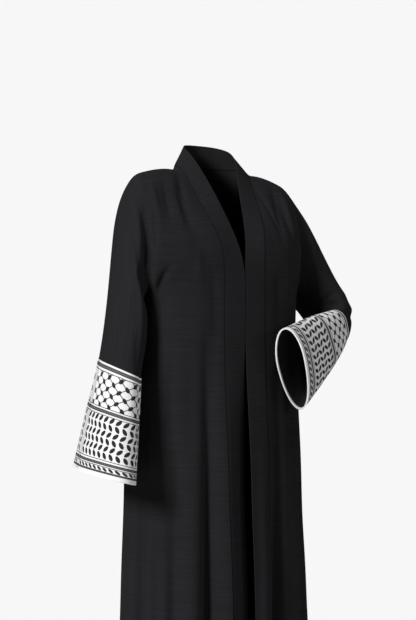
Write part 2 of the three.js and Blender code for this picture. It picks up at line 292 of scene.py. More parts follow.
@dataclass(frozen=True)
class SleeveForm:
    """A sleeve, from its armhole to its hem."""

    stations: tuple[Station, ...]

    @property
    def last(self) -> int:
        """The number of the last station."""
        return len(self.stations) - 1

    def _guide(self, name: str, along: float) -> Vector:
        """Reads one of the four lengthwise guides at a station number."""
        knots = [Vector(getattr(station, name)) for station in self.stations]
        knots = [2 * knots[0] - knots[1], *knots, 2 * knots[-1] - knots[-2]]
        i = min(int(along), self.last - 1)
        x = along - i
        a, b, c, d = knots[i : i + 4]
        start, end = (c - a) / 2, (d - b) / 2
        return b + x * (start + x * (3 * (c - b) - 2 * start - end + x * (2 * (b - c) + start + end)))

    def point(self, along: float, turn: float) -> Vector:
        """Gives a point of the sleeve.

        Args:
            along: The station number, from 0 at the armhole.
            turn: The angle from the overarm line, over the front, in degrees.

        Returns:
            The point.
        """
        over, under = self._guide("over", along), self._guide("under", along)
        bulge = self._guide("front" if turn <= 180 else "back", along)
        middle = over.lerp(under, 0.5)
        angle = math.radians(turn)
        return middle + (over - middle) * math.cos(angle) + (bulge - middle) * abs(math.sin(angle))


@dataclass(frozen=True)
class Stroke:
    """A crease or a drag line laid into the cloth along points near it."""

    path: tuple[Point, ...]
    depth: float
    half: float
    relief: Relief = Relief.VALLEY

    # Stops read on a line, reach in half widths, keenness for its own layer, power of the taper
    STOPS: ClassVar[int] = 40
    REACH: ClassVar[float] = 3
    KEENNESS: ClassVar[float] = 2.5
    TAPER: ClassVar[float] = 0.7


@dataclass
class GarmentSheet:
    """The whole garment as one sheet, from which the pieces are parted."""

    body: BodyForm
    sleeves: dict[Side, SleeveForm]
    strokes: tuple[Stroke, ...]
    underarm_z: float = -250
    hem_z: float = -1420
    band_width: float = 46
    front_opening: float = 0.8
    shoulder_rise: float = 5
    shoulder_columns: int = 12
    neck_columns: int = 4
    yoke_rows: int = 10
    skirt_rows: int = 18
    skirt_crowding: float = 1.3
    cross_stretch: float = 1.25
    neck_run: float = 140
    yoke_run: float = 260
    skirt_run: float = 1170
    band_columns: int = 3
    rows_per_station: int = 3
    cuff_stations: int = 2
    cuff_depth: float = 200
    soft_skirt_rows: int = 6
    soft_sleeve_rows: int = 5
    bent_elbow_rows: tuple[int, int] = (9, 16)
    pull: float = 0.5
    push: float = 0.51
    passes: int = 24
    fineness: int = 2
    edge_top: float = -300
    edge_full: float = -620
    edge_step: dict[Side, float] = field(default_factory=lambda: {Side.RIGHT: 20, Side.LEFT: -5})

    def build(self) -> bpy.types.Mesh:
        """Lays, evens, refines, folds and creases the sheet.

        Returns:
            The fine mesh, with a tag in each face's material index and the cut's UV map.
        """
        self.sheet = bmesh.new()
        self.cut = self.sheet.loops.layers.uv.new("cut")
        self.soft: list[Vector] = []
        for side in Side:
            self._lay_half(side)
        bmesh.ops.remove_doubles(self.sheet, verts=self.sheet.verts[:], dist=0.05)
        self._relax()
        fine = self._refine()
        self._shape(fine)
        return fine

    def _patch(
        self,
        face_tag: Callable[[float], int],
        columns: int,
        rows: int,
        place: Placer,
        cut: Placer,
        flip: bool,
    ) -> list[list[Vector]]:
        """Adds a grid of quads to the sheet.

        Args:
            face_tag: Gives a face's tag by its middle's share across.
            columns: How many quads lie across.
            rows: How many quads lie down.
            place: Gives the point at a share across and down.
            cut: Gives the place on the flat cloth, in millimetres, at a share across and down.
            flip: Whether the faces are turned over.

        Returns:
            The places of the vertices, row by row.
        """
        made = bmesh.ops.create_grid(self.sheet, x_segments=columns, y_segments=rows, size=0.5)["verts"]
        shares = {vert: (vert.co.x + 0.5, 0.5 - vert.co.y) for vert in made}
        faces = {face for vert in made for face in vert.link_faces}
        for face in faces:
            face.material_index = face_tag(sum(shares[vert][0] for vert in face.verts) / len(face.verts))
            for loop in face.loops:
                spot = cut(*shares[loop.vert])
                loop[self.cut].uv = (spot.x * MM, spot.y * MM)
        grid = [[Vector()] * (columns + 1) for _ in range(rows + 1)]
        for vert, (across, down) in shares.items():
            vert.co = place(across, down)
            grid[round(down * rows)][round(across * columns)] = vert.co.copy()
        if flip:
            bmesh.ops.reverse_faces(self.sheet, faces=list(faces))
        return grid

    def _lay_half(self, side: Side) -> None:
        """Lays the patches of one half of the garment."""
        body, sleeve = self.body, self.sleeves[side]
        fall = self.hem_z - self.underarm_z
        flip = side is Side.LEFT

        def sign(turn: float) -> float:
            return side.value * turn

        def skirt_z(down: float) -> float:
            return self.underarm_z + fall * down**self.skirt_crowding

        def seam_turn(z: float) -> float:
            return body.turn_at(z, self.band_width)

        def front_turn(across: float, z: float) -> float:
            return seam_turn(z) + (90 - seam_turn(z)) * across

        def level_cut(place: Placer) -> Placer:
            def cut(across: float, down: float) -> Vector:
                point = place(across, down)
                return Vector((point.x * self.cross_stretch, point.z, 0))

            return cut

        def shoulder(across: float) -> Vector:
            start, end = Vector(mirrored(FRONT_SEAM[0], side)), Vector(sleeve.stations[0].over)
            rise = Vector((0, 0, self.shoulder_rise * math.sin(math.pi * across)))
            return start.lerp(end, across) + rise

        def armhole(start: float) -> Callable[[float], Vector]:
            return lambda down: sleeve.point(0, start + (180 - start) * down)

        front_tag = tag(side, Panel.FRONT, Zone.BODY)
        back_tag = tag(side, Panel.BACK, Zone.BODY)
        seam_end = tuple(body.point(self.underarm_z, sign(seam_turn(self.underarm_z))))
        front_seam = Spline([*(mirrored(point, side) for point in FRONT_SEAM), seam_end])
        front_yoke = spanned(
            front_seam,
            armhole(0),
            shoulder,
            lambda across: body.point(self.underarm_z, sign(front_turn(across, self.underarm_z))),
        )
        across_front = self.shoulder_columns
        grid = self._patch(
            lambda _: front_tag, across_front, self.yoke_rows, front_yoke, level_cut(front_yoke), not flip
        )
        self._soften(row[1:] for row in grid[:-1])

        def front_skirt(across: float, down: float) -> Vector:
            z = skirt_z(down)
            return body.point(z, sign(front_turn(across, z)))

        rows = self.skirt_rows
        grid = self._patch(
            lambda _: front_tag, across_front, rows, front_skirt, level_cut(front_skirt), not flip
        )
        self._soften(row[1:-1] for row in grid[: self.soft_skirt_rows])

        neck_seam = Spline([mirrored(point, side) for point in NECK_SEAM])
        columns = self.neck_columns + self.shoulder_columns
        neck_share = self.neck_columns / columns

        def back_top(across: float) -> Vector:
            if across < neck_share:
                return neck_seam(across / neck_share)
            return shoulder((across - neck_share) / (1 - neck_share))

        centre_back = Spline([*CENTRE_BACK, tuple(body.point(self.underarm_z, sign(180)))])
        back_yoke = spanned(
            centre_back,
            armhole(360),
            back_top,
            lambda across: body.point(self.underarm_z, sign(180 - 90 * across)),
        )
        grid = self._patch(lambda _: back_tag, columns, self.yoke_rows, back_yoke, level_cut(back_yoke), flip)
        self._soften(row[1:] for row in grid[1:-1])

        def back_skirt(across: float, down: float) -> Vector:
            return body.point(skirt_z(down), sign(180 - 90 * across))

        grid = self._patch(lambda _: back_tag, columns, rows, back_skirt, level_cut(back_skirt), flip)
        self._soften(row[1:-1] for row in grid[: self.soft_skirt_rows])

        self._lay_sleeve(side, Panel.FRONT, 0, not flip)
        self._lay_sleeve(side, Panel.BACK, 360, flip)
        self._lay_band(side, front_seam, neck_seam, skirt_z, not flip)

    def _lay_sleeve(self, side: Side, panel: Panel, start: float, flip: bool) -> None:
        """Lays one half of a sleeve, from the overarm line to the underarm line.

        Args:
            side: Which sleeve it is.
            panel: Whether it is the front half or the back half.
            start: The angle of the overarm line, 0 or 360.
            flip: Whether the faces are turned over.
        """
        sleeve = self.sleeves[side]
        last = sleeve.last
        cuff_share = (last - self.cuff_stations) / last
        columns = last * self.rows_per_station

        def place(across: float, down: float) -> Vector:
            return sleeve.point(across * last, start + (180 - start) * down)

        arcs: dict[int, list[float]] = {}

        def arc(across: float, down: float) -> float:
            column = round(across * columns)
            if column not in arcs:
                ring = [place(across, step / self.yoke_rows) for step in range(self.yoke_rows + 1)]
                runs = [(b - a).length for a, b in zip(ring, ring[1:])]
                arcs[column] = [sum(runs[:k]) for k in range(self.yoke_rows + 1)]
            return arcs[column][round(down * self.yoke_rows)]

        def cut(across: float, down: float) -> Vector:
            along = (across - cuff_share) * last / self.cuff_stations * self.cuff_depth
            sign = 1 if panel is Panel.FRONT else -1
            return Vector((along, sign * arc(across, down), 0))

        def face_tag(across: float) -> int:
            return tag(side, panel, Zone.CUFF if across > cuff_share else Zone.SLEEVE)

        grid = self._patch(face_tag, columns, self.yoke_rows, place, cut, flip)
        self._soften(row[: self.soft_sleeve_rows] for row in grid)
        if side is Side.LEFT:
            self._soften(row[slice(*self.bent_elbow_rows)] for row in grid)

    def _lay_band(
        self, side: Side, front_seam: Spline, neck_seam: Spline, skirt_z: Callable[[float], float], flip: bool
    ) -> None:
        """Lays the band: round the neck, down the front, and on to the hem.

        Args:
            side: Which half it is.
            front_seam: Where the band is sewn to the front.
            neck_seam: Where it is sewn to the back.
            skirt_z: Gives the height at a share of the way down the skirt.
            flip: Whether the faces are turned over.
        """
        body = self.body
        band_tag = tag(side, Panel.BAND, Zone.BAND)

        def down_front(across: float, z: float) -> Vector:
            start = body.turn_at(z, self.front_opening)
            end = body.turn_at(z, self.band_width)
            point = body.point(z, side.value * (start + (end - start) * across))
            shift = self.edge_step[side] * float(ease(z, self.edge_top, self.edge_full))
            return point + Vector((0, shift * (1 - across) ** 1.5, 0))

        def flat(top: float, length: float) -> Placer:
            return lambda across, down: Vector((across * self.band_width, top - down * length, 0))

        neck_edge = Spline([mirrored(point, side) for point in NECK_EDGE])
        edge_end = tuple(down_front(0, self.underarm_z))
        front_edge = Spline([*(mirrored(point, side) for point in FRONT_EDGE), edge_end])
        yoke = spanned(
            front_edge,
            front_seam,
            lambda across: front_edge(0).lerp(front_seam(0), across),
            lambda across: down_front(across, self.underarm_z),
        )

        def neck(across: float, down: float) -> Vector:
            return neck_edge(down).lerp(neck_seam(down), across)

        def skirt(across: float, down: float) -> Vector:
            return down_front(across, skirt_z(down))

        columns = self.band_columns
        for rows, place, top, run in (
            (self.neck_columns, neck, self.neck_run, self.neck_run),
            (self.yoke_rows, yoke, 0, self.yoke_run),
            (self.skirt_rows, skirt, -self.yoke_run, self.skirt_run),
        ):
            self._patch(lambda _: band_tag, columns, rows, place, flat(top, run), flip)

    def _soften(self, rows: Iterable[Sequence[Vector]]) -> None:
        """Marks vertices that the evening may move."""
        self.soft.extend(place for row in rows for place in row)

    def _relax(self) -> None:
        """Evens the sheet round the softened vertices; every other pass pushes back."""
        tree = KDTree(len(self.sheet.verts))
        verts = list(self.sheet.verts)
        for k, vert in enumerate(verts):
            tree.insert(vert.co, k)
        tree.balance()
        chosen = list({verts[tree.find(place)[1]] for place in self.soft})
        for step in range(self.passes):
            rings = [[edge.other_vert(vert).co for edge in vert.link_edges] for vert in chosen]
            middles = [sum(ring, Vector()) / len(ring) for ring in rings]
            amount = -self.push if step % 2 else self.pull
            moved = [vert.co.lerp(middle, amount) for vert, middle in zip(chosen, middles)]
            for vert, place in zip(chosen, moved):
                vert.co = place

    def _refine(self) -> bpy.types.Mesh:
        """Turns the coarse sheet into a finely divided, smooth one."""
        coarse = bpy.data.meshes.new("coarse_sheet")
        self.sheet.to_mesh(coarse)
        self.sheet.free()
        for _ in range(len(Side) * len(Panel) * len(Zone)):
            coarse.materials.append(None)
        holder = placed("coarse_sheet", coarse)
        smoother = holder.modifiers.new("smooth", "SUBSURF")
        smoother.levels = smoother.render_levels = self.fineness
        shown = holder.evaluated_get(bpy.context.evaluated_depsgraph_get())
        fine = bpy.data.meshes.new_from_object(shown)
        bpy.data.objects.remove(holder)
        bpy.data.meshes.remove(coarse)
        return fine

    def _shape(self, fine: bpy.types.Mesh) -> None:
        """Sinks the skirt's folds and lays the strokes into the fine sheet."""
        points = positions(fine)
        skirt = np.zeros(len(points), dtype=bool)
        for polygon in fine.polygons:
            if polygon.material_index % len(Zone) in (Zone.BODY.value, Zone.BAND.value):
                skirt[list(polygon.vertices)] = True
        folds = np.where(skirt & (points[:, 2] < self.underarm_z), self.body.fold_depth(points), 0)
        set_positions(fine, points - normals(fine) * folds[:, None])
        for stroke in self.strokes:
            points = positions(fine)
            set_positions(fine, points + self._stroke_shift(stroke, points, normals(fine)))

    @staticmethod
    def _stroke_shift(stroke: Stroke, points: np.ndarray, out: np.ndarray) -> np.ndarray:
        """Works out how one stroke moves the cloth.

        Args:
            stroke: The stroke.
            points: The sheet's points.
            out: The sheet's outward directions.

        Returns:
            The shift of each point.
        """
        line = Spline(stroke.path).samples[:: Spline.STOPS // stroke.STOPS]
        reach = stroke.REACH * stroke.half
        low, high = line.min(axis=0) - reach, line.max(axis=0) + reach
        near = np.flatnonzero(np.all((points > low) & (points < high), axis=1))
        shift = np.zeros_like(points)
        if not len(near):
            return shift
        away = np.linalg.norm(points[near][:, None] - line[None], axis=2)
        stop = away.argmin(axis=1)
        distance = away.min(axis=1)
        # Only the layer of cloth that the stroke lies on is moved
        home = near[away.argmin(axis=0)]
        facing = np.clip(stroke.KEENNESS * np.sum(out[near] * out[home][stop], axis=1), 0, 1)
        taper = np.sin(np.pi * (stop + 1) / (len(line) + 1)) ** stroke.TAPER
        x = distance / stroke.half
        amount = stroke.depth * taper * facing * np.exp(-(x**2))
        if stroke.relief is Relief.VALLEY:
            amount = -amount
        shift[near] = out[near] * amount[:, None]
        return shift


def positions(mesh: bpy.types.Mesh) -> np.ndarray:
    """Reads a mesh's vertices as rows of x, y and z."""
    flat = np.empty(len(mesh.vertices) * 3)
    mesh.vertices.foreach_get("co", flat)
    return flat.reshape(-1, 3)


def normals(mesh: bpy.types.Mesh) -> np.ndarray:
    """Reads the outward direction at each vertex."""
    flat = np.empty(len(mesh.vertices) * 3)
    mesh.vertex_normals.foreach_get("vector", flat)
    return flat.reshape(-1, 3)


def set_positions(mesh: bpy.types.Mesh, points: np.ndarray) -> None:
    """Writes rows of x, y and z back to a mesh."""
    mesh.vertices.foreach_set("co", points.ravel())
    mesh.update()


BODY = BodyForm(
    sections=(
        Section(-250, 167, 116, 94, 2.7),
        Section(-330, 169, 116, 90, 2.5),
        Section(-400, 174, 118, 96, 2.35),
        Section(-460, 179, 122, 105, 2.25),
        Section(-600, 185, 131, 120, 2.15),
        Section(-860, 192, 144, 133, 2.1),
        Section(-1100, 208, 156, 146, 2),
        Section(-1420, 236, 174, 166, 2),
    ),
    folds=(
        Fold(-23, -29, -300, 42, 4.4),
        Fold(-12.5, -15, -420, -10, 3.6),
        Fold(-36, -40, -520, -11, 5.5),
        Fold(-48, -52, -500, 18, 4.6),
        Fold(-61, -62, -680, 13, 4),
        Fold(-75, -79, -430, 24, 4.8),
        Fold(23, 13, -380, 37, 4.2),
        Fold(9, 3, -500, -11, 3.6),
        Fold(39, 34, -480, -13, 5.5),
        Fold(52, 51, -520, 21, 4.4),
        Fold(63, 66, -700, -8, 4),
        Fold(74, 77, -560, 22, 5),
        Fold(93, 95, -620, 13, 4),
        Fold(110, 112, -450, 21, 5),
        Fold(123, 122, -600, -10, 4.5),
        Fold(135, 138, -380, 28, 5),
        Fold(150, 149, -560, -10, 4.5),
        Fold(161, 160, -500, 21, 4.6),
        Fold(178, 177, -620, 14, 4),
        Fold(-168, -166, -540, 20, 4.4),
        Fold(-155, -156, -620, -10, 4.5),
        Fold(-141, -144, -400, 28, 5),
        Fold(-127, -128, -640, -8, 4.5),
        Fold(-113, -116, -500, 22, 5),
        Fold(-96, -98, -580, 14, 4.2),
    ),
)

# Half of the neck seam, from the centre back to the shoulder, and on down the front
NECK_SEAM = ((0, 73, 2), (40, 64, 1), (68, 38, -1), (80, 5, -2))
FRONT_SEAM = (
    (80, 5, -2),
    (73, -24, -34),
    (68, -52, -75),
    (61, -88, -120),
    (50, -110, -160),
    (46, -114, -205),
)
# Half of the band's free edge over the same stretches
NECK_EDGE = ((0, 63, 47), (30, 54, 45), (48, 34, 38), (52, 10, 26))
FRONT_EDGE = (
    (52, 10, 26),
    (47, -12, 4),
    (36, -34, -32),
    (27, -57, -70),
    (18, -83, -116),
    (9, -104, -160),
    (0.8, -115, -212),
)
CENTRE_BACK = ((0, 73, 2), (0, 86, -50), (0, 94, -110), (0, 96, -180))

RIGHT_SLEEVE = SleeveForm(
    (
        Station((-168, 8, -25), (-188, -62, -155), (-167, 0, -250), (-168, 70, -140)),
        Station((-191, 8, -64), (-203, -74, -172), (-177, 0, -262), (-183, 62, -165)),
        Station((-209, 4, -122), (-212, -76, -212), (-184, -2, -282), (-190, 56, -207)),
        Station((-226, -2, -255), (-206, -78, -298), (-184, -10, -315), (-198, 50, -280)),
        Station((-256, -24, -388), (-230, -92, -413), (-185, -22, -415), (-209, 50, -385)),
        Station((-279, -25, -488), (-247, -110, -510), (-197, -27, -512), (-228, 61, -484)),
        Station((-301, -24, -586), (-263, -126, -604), (-210, -31, -608), (-246, 72, -584)),
    )
)
LEFT_SLEEVE = SleeveForm(
    (
        Station((168, 8, -31), (170, -52, -155), (167, 0, -250), (170, 72, -140)),
        Station((197, 6, -84), (200, -60, -172), (180, -2, -264), (200, 70, -165)),
        Station((236, 0, -152), (222, -66, -212), (200, -12, -286), (228, 58, -210)),
        Station((274, -14, -228), (240, -79, -250), (216, -20, -302), (262, 40, -282)),
        Station((299, -48, -290), (245, -91, -272), (222, -20, -324), (292, 8, -336)),
        Station((266, -82, -314), (219, -90, -285), (206, -40, -340), (270, -46, -360)),
        Station((182, -127, -348), (150, -112, -300), (155, -86, -358), (205, -94, -412)),
        Station((97, -176, -385), (64, -158, -323), (67, -128, -390), (119, -132, -477)),
    )
)

# The main creases first, which the solids have too, and then the smaller ones by place
STROKES = (
    Stroke(((-190, -30, -52), (-193, -47, -98), (-184, -66, -205)), 4, 8),
    Stroke(((176, -30, -75), (170, -46, -150), (160, -52, -262)), 9, 10),
    Stroke(((-116, -40, -30), (-106, -76, -116), (-84, -112, -215)), 5, 15),
    Stroke(((122, -38, -36), (127, -68, -101), (140, -84, -170)), 5, 15),
    Stroke(((-206, -70, -190), (-213, -72, -277), (-222, -70, -370)), 6, 13),
    Stroke(((288, -72, -262), (259, -79, -270), (226, -70, -292)), 8, 11),
    Stroke(((310, -46, -292), (280, -67, -292), (240, -60, -306)), 6, 9),
    Stroke(((-150, 74, -60), (-161, 72, -154), (-160, 60, -258)), 8, 13),
    Stroke(((150, 74, -60), (161, 72, -154), (160, 60, -258)), 8, 13),
    Stroke(((-60, 86, -120), (-71, 89, -222), (-84, 86, -330)), 6, 16),
    Stroke(((74, 86, -140), (80, 88, -242), (88, 84, -350)), 6, 16),
    # Near armpit and shoulder
    Stroke(((-181, -40, -190), (-183, -36, -240), (-184, -34, -300)), 9, 13, Relief.RIDGE),
    Stroke(
        ((-184, -50, -205), (-188, -50, -255), (-190, -53, -300), (-196, -66, -390)), 12, 15, Relief.RIDGE
    ),
    Stroke(((-172, -66, -130), (-166, -68, -190), (-164, -56, -250), (-168, -44, -330)), 9, 12, Relief.RIDGE),
    Stroke(
        ((-184, -41, -68), (-187, -64, -118), (-186, -72, -170), (-180, -68, -225), (-174, -58, -280)), 8, 4.5
    ),
    Stroke(
        ((-211, -50, -123), (-214, -67, -162), (-213, -79, -209), (-214, -84, -330), (-222, -92, -400)), 6, 8
    ),
    Stroke(((-171, -69, -113), (-176, -78, -160), (-168, -72, -205)), 4, 6),
    Stroke(((-149, -94, -206), (-159, -78, -231), (-160, -62, -258)), 5, 6),
    Stroke(((-128, -104, -232), (-150, -88, -262), (-164, -66, -292)), 5, 7),
    Stroke(((-110, -110, -262), (-140, -98, -306), (-164, -62, -356)), 4, 8),
    Stroke(((-133, -34, -42), (-140, -61, -83), (-143, -80, -124)), 4, 8),
    Stroke(((-158, -30, -38), (-163, -56, -82), (-162, -76, -132)), 4, 7, Relief.RIDGE),
    Stroke(((-92, -17, -22), (-97, -44, -54), (-108, -82, -105), (-107, -97, -135)), 5, 8),
    Stroke(((-112, -22, -26), (-118, -56, -74), (-120, -86, -124)), 3, 7, Relief.RIDGE),
    # Chest and waist, near side
    Stroke(((-96, -104, -170), (-98, -116, -240), (-92, -118, -330), (-90, -118, -420)), 4, 9, Relief.RIDGE),
    Stroke(((-72, -114, -200), (-66, -118, -290), (-70, -118, -400), (-76, -122, -520)), 5, 9),
    Stroke(((-122, -104, -270), (-118, -108, -350), (-116, -108, -450), (-118, -112, -560)), 5, 9),
    Stroke(((-148, -86, -330), (-146, -84, -430), (-148, -86, -560)), 5, 9),
    # Chest and shoulder, far side
    Stroke(((120, -29, -39), (109, -73, -101), (107, -93, -139)), 5, 8),
    Stroke(((77, -32, -44), (92, -71, -97), (98, -100, -160)), 4, 7),
    Stroke(((140, -28, -44), (140, -60, -100), (138, -84, -160)), 4, 7, Relief.RIDGE),
    Stroke(((175, -48, -103), (173, -57, -144), (157, -76, -185)), 4, 8, Relief.RIDGE),
    Stroke(((78, -112, -220), (84, -118, -300), (82, -114, -420)), 5, 9),
    Stroke(((104, -102, -200), (112, -106, -290), (110, -106, -420)), 4, 9, Relief.RIDGE),
    Stroke(((130, -88, -200), (138, -94, -280), (134, -98, -400), (134, -104, -520)), 5, 9),
    Stroke(((160, -56, -280), (156, -72, -330), (142, -88, -400)), 5, 8),
    # Near sleeve, lengthwise
    Stroke(((-232, -52, -230), (-244, -80, -320), (-252, -100, -420), (-262, -114, -520)), 4, 10),
    Stroke(((-222, -10, -180), (-246, -20, -290), (-270, -40, -400)), 3, 9, Relief.RIDGE),
    Stroke(((-204, -72, -380), (-214, -84, -450), (-226, -98, -540)), 4, 8),
    Stroke(((-226, 26, -240), (-244, 30, -330), (-262, 32, -440)), 4, 10),
    Stroke(((-204, 54, -260), (-218, 54, -350), (-234, 58, -460)), 5, 10),
    Stroke(((-194, 62, -160), (-200, 62, -210), (-200, 58, -270)), 5, 8),
    # Far sleeve and its elbow
    Stroke(((239, -78, -248), (221, -68, -260), (209, -51, -272)), 5, 6),
    Stroke(((273, -89, -278), (251, -95, -272), (228, -75, -270), (213, -56, -272)), 5, 6),
    Stroke(((214, -60, -130), (236, -66, -180), (252, -78, -228)), 4, 9),
    Stroke(((196, -56, -120), (204, -66, -180), (206, -68, -236)), 4, 8, Relief.RIDGE),
    Stroke(((232, 30, -130), (252, 40, -200), (280, 30, -270)), 4, 10),
    Stroke(((206, 62, -160), (226, 62, -220), (256, 46, -290)), 5, 9),
    Stroke(((300, -10, -320), (268, -26, -350), (236, -36, -352)), 5, 8),
    Stroke(((286, -66, -330), (250, -66, -362), (214, -74, -372)), 4, 8),
    # Back, from the shoulders and the centre
    Stroke(((-104, 66, -30), (-112, 84, -100), (-108, 92, -190), (-110, 84, -290)), 5, 10),
    Stroke(((-134, 64, -40), (-140, 78, -110), (-136, 82, -200)), 4, 9, Relief.RIDGE),
    Stroke(((108, 66, -34), (114, 84, -110), (112, 90, -200), (116, 80, -300)), 5, 10),
    Stroke(((136, 64, -44), (142, 78, -120), (134, 82, -210)), 4, 9, Relief.RIDGE),
    Stroke(((-22, 86, -90), (-28, 94, -180), (-34, 92, -300), (-34, 94, -430)), 4, 11, Relief.RIDGE),
    Stroke(((30, 88, -110), (34, 94, -220), (42, 92, -340)), 4, 12),
    Stroke(((-132, 70, -280), (-130, 66, -380), (-134, 76, -500)), 6, 10),
    Stroke(((128, 72, -290), (132, 66, -400), (130, 80, -520)), 6, 10),
)


class Socket:
    """A shader value that can be reckoned with."""

    def __init__(self, maker: "Nodes", socket: bpy.types.NodeSocket) -> None:
        """Wraps one output socket of a material."""
        self.maker = maker
        self.socket = socket

    def _math(self, operation: str, *values: "Socket | float") -> "Socket":
        """Adds one Math node."""
        return self.maker.math(operation, *values)

    def __add__(self, other: "Socket | float") -> "Socket":
        """Adds."""
        return self._math("ADD", self, other)

    __radd__ = __add__

    def __sub__(self, other: "Socket | float") -> "Socket":
        """Subtracts."""
        return self._math("SUBTRACT", self, other)

    def __rsub__(self, other: "Socket | float") -> "Socket":
        """Subtracts from a number."""
        return self._math("SUBTRACT", other, self)

    def __mul__(self, other: "Socket | float") -> "Socket":
        """Multiplies."""
        return self._math("MULTIPLY", self, other)

    __rmul__ = __mul__

    def __truediv__(self, other: "Socket | float") -> "Socket":
        """Divides."""
        return self._math("DIVIDE", self, other)

    def __abs__(self) -> "Socket":
        """Drops the sign."""
        return self._math("ABSOLUTE", self)


class Nodes:
    """Builds the nodes of one material."""

    def __init__(self, name: str) -> None:
        """Starts an empty material with a Principled surface."""
        self.material = bpy.data.materials.new(name)
        self.material.use_nodes = True
        self.tree = self.material.node_tree
        self.tree.nodes.clear()
        self.surface = self.tree.nodes.new("ShaderNodeBsdfPrincipled")
        output = self.tree.nodes.new("ShaderNodeOutputMaterial")
        self.tree.links.new(self.surface.outputs["BSDF"], output.inputs["Surface"])

    def add(self, kind: str, settings: dict | None = None, **sockets: object) -> bpy.types.Node:
        """Adds a node.

        Args:
            kind: The node's type.
            settings: Its own settings, set first.
            **sockets: Values or links by the socket's name, with _ for a space.

        Returns:
            The node.
        """
        node = self.tree.nodes.new(kind)
        for key, value in (settings or {}).items():
            setattr(node, key, value)
        self.fill(node, **sockets)
        return node

    def feed(self, target: bpy.types.NodeSocket, value: object) -> None:
        """Sets a socket to a number or colour, or links a value to it."""
        if isinstance(value, Socket):
            self.tree.links.new(value.socket, target)
        else:
            target.default_value = value

    def fill(self, node: bpy.types.Node, **sockets: object) -> None:
        """Sets or links a node's sockets by name, with _ for a space."""
        for key, value in sockets.items():
            self.feed(node.inputs[key.replace("_", " ")], value)

    def math(self, operation: str, *values: Socket | float) -> Socket:
        """Adds a Math node on the values."""
        node = self.tree.nodes.new("ShaderNodeMath")
        node.operation = operation
        for target, value in zip(node.inputs, values):
            self.feed(target, value)
        return Socket(self, node.outputs[0])

    def clamp(self, value: Socket) -> Socket:
        """Holds a value between 0 and 1."""
        return self.math("MINIMUM", self.math("MAXIMUM", value, 0.0), 1.0)

    def cut_place(self) -> tuple[Socket, Socket]:
        """Reads the place on the flat cloth, in metres along and across."""
        place = self.add("ShaderNodeUVMap", {"uv_map": "cut"})
        split = self.add("ShaderNodeSeparateXYZ", Vector=Socket(self, place.outputs["UV"]))
        return Socket(self, split.outputs["X"]), Socket(self, split.outputs["Y"])

    def grain(
        self, place: tuple[Socket, Socket], scale: Pair, detail: float = 2.0, roughness: float = 0.5
    ) -> Socket:
        """Gives smooth noise from 0 to 1 at a place.

        Args:
            place: The place on the flat cloth.
            scale: How fine the noise is, along and across.
            detail: How many finer layers it has.
            roughness: How strong those are.

        Returns:
            The noise.
        """
        x, y = (value * size for value, size in zip(place, scale))
        spot = Socket(self, self.add("ShaderNodeCombineXYZ", X=x, Y=y).outputs["Vector"])
        node = self.add("ShaderNodeTexNoise", Vector=spot, Scale=1.0, Detail=detail, Roughness=roughness)
        return Socket(self, node.outputs["Fac"])

    def layer(self, amount: Socket, below: Socket | Sequence[float], colour: Sequence[float]) -> Socket:
        """Lays a colour over another by an amount."""
        node = self.add("ShaderNodeMix", {"data_type": "RGBA"})
        self.feed(node.inputs[0], amount)
        self.feed(node.inputs[6], below if isinstance(below, Socket) else (*below, 1))
        node.inputs[7].default_value = (*colour, 1)
        return Socket(self, node.outputs[2])

    def bump(self, height: Socket, strength: float, distance: float) -> None:
        """Raises the surface's detail."""
        node = self.add("ShaderNodeBump", Height=height, Strength=strength, Distance=distance)
        self.fill(self.surface, Normal=Socket(self, node.outputs["Normal"]))


@dataclass(frozen=True)
class CrepeFinish:
    """Black crepe with fine slubs along its weft."""

    name: str
    dark: Point = (0.009, 0.009, 0.010)
    light: Point = (0.023, 0.023, 0.025)
    slub_scale: Pair = (22, 900)
    cloud_scale: Pair = (6, 6)
    coarse_scale: Pair = (9, 230)
    pebble_scale: Pair = (1400, 1400)
    roughness: float = 0.7
    sheen: float = 0.01
    sheen_spread: float = 0.45
    relief: float = 0.35
    relief_height: float = 0.0012
    seam_at: float = -1
    seam_half: float = 0.0012
    seam_shade: Point = (0.002, 0.002, 0.002)

    def make(self) -> bpy.types.Material:
        """Builds the material."""
        nodes = Nodes(self.name)
        place = nodes.cut_place()
        slub = nodes.grain(place, self.slub_scale, 3.0, 0.6)
        cloud = nodes.grain(place, self.cloud_scale)
        coarse = nodes.grain(place, self.coarse_scale, 2.0, 0.6)
        pebble = nodes.grain(place, self.pebble_scale)
        shade = nodes.clamp(slub * 0.5 + coarse * 0.6 + cloud * 0.3 - 0.2)
        seam = nodes.clamp(1.6 - abs(place[0] - self.seam_at) / self.seam_half)
        thread = nodes.layer(shade, self.dark, self.light)
        nodes.fill(
            nodes.surface,
            Base_Color=nodes.layer(seam * 0.55, thread, self.seam_shade),
            Roughness=nodes.clamp(slub * 0.2 + self.roughness - 0.1),
            Sheen_Weight=self.sheen,
            Sheen_Roughness=self.sheen_spread,
            Specular_IOR_Level=0.0,
        )
        nodes.bump(slub * 0.6 + coarse * 1.2 + pebble * 0.4 - seam * 1.5, self.relief, self.relief_height)
        return nodes.material


@dataclass(frozen=True)
class BindingFinish:
    """White woven binding."""

    name: str = "binding_white"
    dark: Point = (0.62, 0.61, 0.6)
    light: Point = (0.86, 0.85, 0.84)
    thread_scale: Pair = (1500, 1500)
    roughness: float = 0.8
    relief: float = 0.4
    relief_height: float = 0.0004

    def make(self) -> bpy.types.Material:
        """Builds the material."""
        nodes = Nodes(self.name)
        thread = nodes.grain(nodes.cut_place(), self.thread_scale)
        colour = nodes.layer(thread, self.dark, self.light)
        nodes.fill(nodes.surface, Base_Color=colour, Roughness=self.roughness)
        nodes.bump(thread, self.relief, self.relief_height)
        return nodes.material


